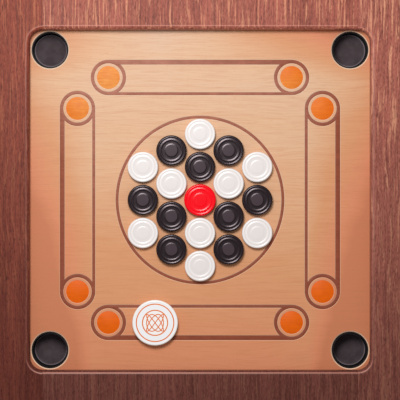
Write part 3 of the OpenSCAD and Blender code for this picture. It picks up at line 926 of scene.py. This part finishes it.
def dress_cad_nodes():
    """Materials for the CAD nodes that stay."""
    finishes = {"batten_long": PINE_X, "batten_cross": PINE_Y, "frame_dowels": PINE_X}
    finishes.update({f"cleat_{s}": PINE_X if s in ("back", "front") else PINE_Y for s in SIDES})
    finishes.update({n: ZINC for n in ("batten_screws", "cleat_screws", "pocket_screws", "foot_screws")})
    finishes.update({f"pocket_cup_{c}": CUP_PLASTIC for c in CORNERS})
    finishes.update({f"foot_{c}": FOOT_RUBBER for c in CORNERS})
    for name, material in finishes.items():
        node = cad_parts[name]
        node.data.materials.clear()
        node.data.materials.append(material)


# ---------------------------------------------------------------- men, queen and striker

# A man's face is turned down to a valley that leaves a low disc, a rounded ridge and the rim standing.
# Radii are shares of the man's radius, heights are in mm. Inside MAN_GRAIN a black man's face is grained.
MAN_DISC = 0.36
MAN_SHOULDER = 0.12
MAN_DISC_H = 0.17
MAN_RIDGE = 0.7
MAN_RIDGE_W = 0.11
MAN_RIDGE_H = 0.2
MAN_RIM_START = 0.82
MAN_FACE = 0.9
MAN_VALLEY = 0.23
# How darkened the low disc is, by dirt and painted shade.
MAN_DISC_GRIME_AND_SHADE = 0.9
MAN_GRAIN = 0.38
FACE_STEPS = 60
MAN_STEPS = 128
RIM_STEPS = 6

# The striker's printed rings, tinted bands and flat face, as shares of its radius. Its face is dished by a
# hair inside the flat's edge.
STRIKER_RINGS = (0.82, 0.55)
STRIKER_RING_W = 1.1 * MM
STRIKER_BANDS = ((0.615, 0.755), (0.87, 0.92))
STRIKER_MIDDLE = (0.0, 0.25, 0.5)
STRIKER_FLAT = 0.94
STRIKER_DISH = 0.12 * MM
STRIKER_DISH_RUN = 0.04
STRIKER_STEPS = 160

# The printed lattice: its reach as a share of the striker's radius, its line's width in mm, how often it
# swings across and along, its steps, its thickness, and the distance in mm below which two points are one.
LATTICE_REACH = 0.37
LATTICE_LINE = 0.9
LATTICE_ACROSS = 3
LATTICE_ALONG = 4
LATTICE_STEPS = 360
LATTICE_H = 0.03 * MM
LATTICE_JOIN = 1e-4


def ease(t):
    """0 to 1 with a level start and end."""
    return (1 - math.cos(math.pi * clamped(t))) / 2


def man_face(radius):
    """Face of a man from its centre to its rim: (radius, depth below the rim, how much dirt and painted shade
    it holds).
    """
    found = [(0.0, (MAN_VALLEY - MAN_DISC_H) * MM, MAN_DISC_GRIME_AND_SHADE)]
    for i in range(FACE_STEPS + 1):
        share = MAN_DISC + (MAN_FACE - MAN_DISC) * i / FACE_STEPS
        disc = MAN_DISC_H * (1 - ease((share - MAN_DISC) / MAN_SHOULDER))
        ridge = MAN_RIDGE_H * ease(1 - abs(share - MAN_RIDGE) / MAN_RIDGE_W)
        rim = MAN_VALLEY * ease((share - MAN_RIM_START) / (MAN_FACE - MAN_RIM_START))
        height = max(disc, ridge, rim)
        # The disc and the valley darken most, by dirt and painted shade; ridge and rim tops least.
        grime_and_shade = MAN_DISC_GRIME_AND_SHADE if share < MAN_DISC + MAN_SHOULDER / 2 else 1 - height / MAN_VALLEY
        found.append((share * radius, (MAN_VALLEY - height) * MM, grime_and_shade))
    return found


def rounded_rim(radius, low, high, inner):
    """The outside of a disc between its two faces: the upper rounded edge down to the lower one."""
    bevel = radius - inner
    upper = []
    for i in range(1, RIM_STEPS + 1):
        a = math.pi / 2 * i / RIM_STEPS
        upper.append((inner + bevel * math.sin(a), high - bevel * (1 - math.cos(a))))
    lower = [(r, low + high - z) for r, z in reversed(upper)]
    return upper + lower


def disc_outline(low, high, radius, face, material_for):
    """A disc's outline for lathe, with the same face above and below.

    material_for gives the material's number at a share of the radius."""
    upper = [(r, high - d, material_for(r / radius), g) for r, d, g in face]
    lower = [(r, low + d, material_for(r / radius), g) for r, d, g in reversed(face)]
    rim = [(r, z, 0, 0.0) for r, z in rounded_rim(radius, low, high, face[-1][0])]
    return upper + rim + lower


def build_man(node, materials):
    """A man or the queen. The last of the materials is the one in the middle of its face."""
    low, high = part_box(node)
    centre = (low + high) / 2
    radius = (high.y - low.y) / 2
    face = man_face(radius)
    last = len(materials) - 1
    outline = disc_outline(low.z, high.z, radius, face, lambda share: last if share < MAN_GRAIN else 0)
    lathe(f"{node}_turned", outline, centre, materials, node, [node], MAN_STEPS)


def striker_material(share, radius):
    """Number of the striker's material at a share of its radius: 0 acrylic, 1 tinted, 2 print."""
    for ring in STRIKER_RINGS:
        if abs(share - ring) * radius < STRIKER_RING_W / 2:
            return 2
    return 1 if any(inner < share < outer for inner, outer in STRIKER_BANDS) else 0


def striker_face(radius):
    """The striker's flat face: (radius, depth, dirt and painted shade, here none), with points at the edges
    of its rings and bands.
    """
    edges = {*STRIKER_MIDDLE, STRIKER_FLAT}
    for band in STRIKER_BANDS:
        edges.update(band)
    for ring in STRIKER_RINGS:
        for s in (-1, 1):
            edges.add(ring + s * STRIKER_RING_W / 2 / radius)
    return [
        (radius * e, STRIKER_DISH * min((STRIKER_FLAT - e) / STRIKER_DISH_RUN, 1.0), 0.0)
        for e in sorted(edges)
    ]


def build_striker():
    low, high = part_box("striker")
    centre = (low + high) / 2
    radius = (high.y - low.y) / 2
    face = striker_face(radius)
    # A point on the edge between two bands takes the material of the outer one.
    hair = 1e-4
    outline = disc_outline(low.z, high.z, radius, face, lambda share: striker_material(share + hair, radius))
    materials = [ACRYLIC, ACRYLIC_BAND, PRINT]
    lathe("striker_turned", outline, centre, materials, "striker", ["striker"],
          STRIKER_STEPS)
    for top in (True, False):
        build_lattice(centre, radius, high.z if top else low.z, top)


def lattice_ribbons(reach):
    """Four corners for each short stretch of a line that weaves to and fro and crosses itself."""
    line = []
    for i in range(LATTICE_STEPS):
        t = math.tau * i / LATTICE_STEPS
        line.append(Vector((math.cos(LATTICE_ACROSS * t), math.sin(LATTICE_ALONG * t))) * reach)
    ribbons = []
    for i in range(LATTICE_STEPS):
        a, b = line[i], line[(i + 1) % LATTICE_STEPS]
        run = (b - a).normalized()
        side = Vector((-run.y, run.x)) * LATTICE_LINE / 2
        ribbons += [a - side, b - side, b + side, a + side]
    return ribbons


def build_lattice(centre, radius, face_z, top):
    """The printed ornament inside the striker's inner ring, on its upper or lower face.

    Its outline is worked out in mm, because the triangulation is coarser than a thin line in metres."""
    corners = lattice_ribbons(LATTICE_REACH * radius / MM)
    quads = [[4 * i + n for n in range(4)] for i in range(LATTICE_STEPS)]
    verts, _, faces, _, _, owners = delaunay_2d_cdt(corners, [], quads, CDT_INSIDE, LATTICE_JOIN)
    outward = 1 if top else -1
    base = face_z - outward * STRIKER_DISH
    shape = bmesh.new()
    flat = [shape.verts.new((centre.x + v.x * MM, centre.y + v.y * MM, base)) for v in verts]
    for face, owner in zip(faces, owners):
        if owner:
            shape.faces.new([flat[n] for n in face])
    grown = bmesh.ops.extrude_face_region(shape, geom=shape.faces[:])
    lifted = [part for part in grown["geom"] if isinstance(part, bmesh.types.BMVert)]
    bmesh.ops.translate(shape, verts=lifted, vec=(0, 0, outward * LATTICE_H))
    loose = [v for v in shape.verts if not v.link_faces]
    bmesh.ops.delete(shape, geom=loose, context="VERTS")
    bmesh.ops.recalc_face_normals(shape, faces=shape.faces)
    mesh = bpy.data.meshes.new("striker_lattice")
    shape.to_mesh(mesh)
    shape.free()
    mesh.materials.append(PRINT)
    add_to_body("striker_lattice_top" if top else "striker_lattice_under", mesh, "striker")


# ---------------------------------------------------------------- camera, floor and light

CAMERA_HEIGHT = 3.0
CAMERA_FAR = 20
SENSOR_MM = 36.0
PICTURE_HALF = 203 * MM
FLOOR_HALF = 4.0

# The one lamp hangs behind the board, a little to the left, and the sky fills the shadows.
KEY_PLACE = (-0.14, 0.38, 1.05)
KEY_AIM = (-0.02, 0.06, TOP_Z)
KEY_SIZE = 0.38
KEY_POWER = 6.2
KEY_SPREAD = math.radians(150)
SKY_COLOUR = (0.97, 0.94, 0.93, 1)
SKY_STRENGTH = 0.3


def build_camera():
    """Straight above the board's centre. The picture ends just inside the frame's outer edges."""
    data = bpy.data.cameras.new("camera")
    data.sensor_width = SENSOR_MM
    data.lens = SENSOR_MM / 2 * CAMERA_HEIGHT / PICTURE_HALF
    data.clip_end = CAMERA_FAR
    camera = bpy.data.objects.new("camera", data)
    camera.location = (0, 0, TOP_Z + CAMERA_HEIGHT)
    bpy.context.scene.collection.objects.link(camera)
    bpy.context.scene.camera = camera


def build_floor():
    h = FLOOR_HALF
    mesh = bpy.data.meshes.new("floor")
    mesh.from_pydata([(-h, -h, 0), (h, -h, 0), (h, h, 0), (-h, h, 0)], [], [(0, 1, 2, 3)])
    mesh.materials.append(floor_finish())
    floor = bpy.data.objects.new("floor", mesh)
    bpy.context.scene.collection.objects.link(floor)


def build_light():
    data = bpy.data.lights.new("key", "AREA")
    data.shape = "DISK"
    data.size = KEY_SIZE
    data.energy = KEY_POWER
    data.spread = KEY_SPREAD
    lamp = bpy.data.objects.new("key", data)
    lamp.location = KEY_PLACE
    lamp.rotation_euler = (Vector(KEY_AIM) - Vector(KEY_PLACE)).to_track_quat("-Z", "Y").to_euler()
    bpy.context.scene.collection.objects.link(lamp)
    world = bpy.data.worlds.new("studio")
    world.use_nodes = True
    sky = world.node_tree.nodes["Background"]
    sky.inputs["Color"].default_value = SKY_COLOUR
    sky.inputs["Strength"].default_value = SKY_STRENGTH
    bpy.context.scene.world = world
    bpy.context.scene.view_settings.view_transform = "Standard"


build_camera()
build_floor()
build_light()
# Each member's stain deepens towards the front as painted shade, and its worn_and_lit steps set a paler lip
# crest that is partly painted highlight.
build_stile(-1, "varnished_stile_left", "frame_stile_left",
            stain=(0.46, 1.1), redness=0.85, worn_and_lit=(LIP_STEPS - 1, 0.12, 0.7))
build_stile(1, "varnished_stile_right", "frame_stile_right",
            stain=(0.25, 1.7), redness=0.1, worn_and_lit=(LIP_STEPS - 2, 0.3, 0.8))
build_rail(1, "varnished_rail_back", "frame_rail_back",
           stain=(0.3, 1.3), redness=0.3, worn_and_lit=(LIP_STEPS, 0.6, 0.6))
build_rail(-1, "varnished_rail_front", "frame_rail_front",
           stain=(0.45, 1.1), redness=0.15, worn_and_lit=(LIP_STEPS - 2, 1.0, 1.0))
build_sheet()
build_markings()
build_liners()
dress_cad_nodes()
for i in range(1, MEN_PER_COLOUR + 1):
    build_man(f"white_man_{i}", [WHITE])
for i in range(1, MEN_PER_COLOUR + 1):
    build_man(f"black_man_{i}", [BLACK, BLACK_FACE])
build_man("queen", [RED])
build_striker()
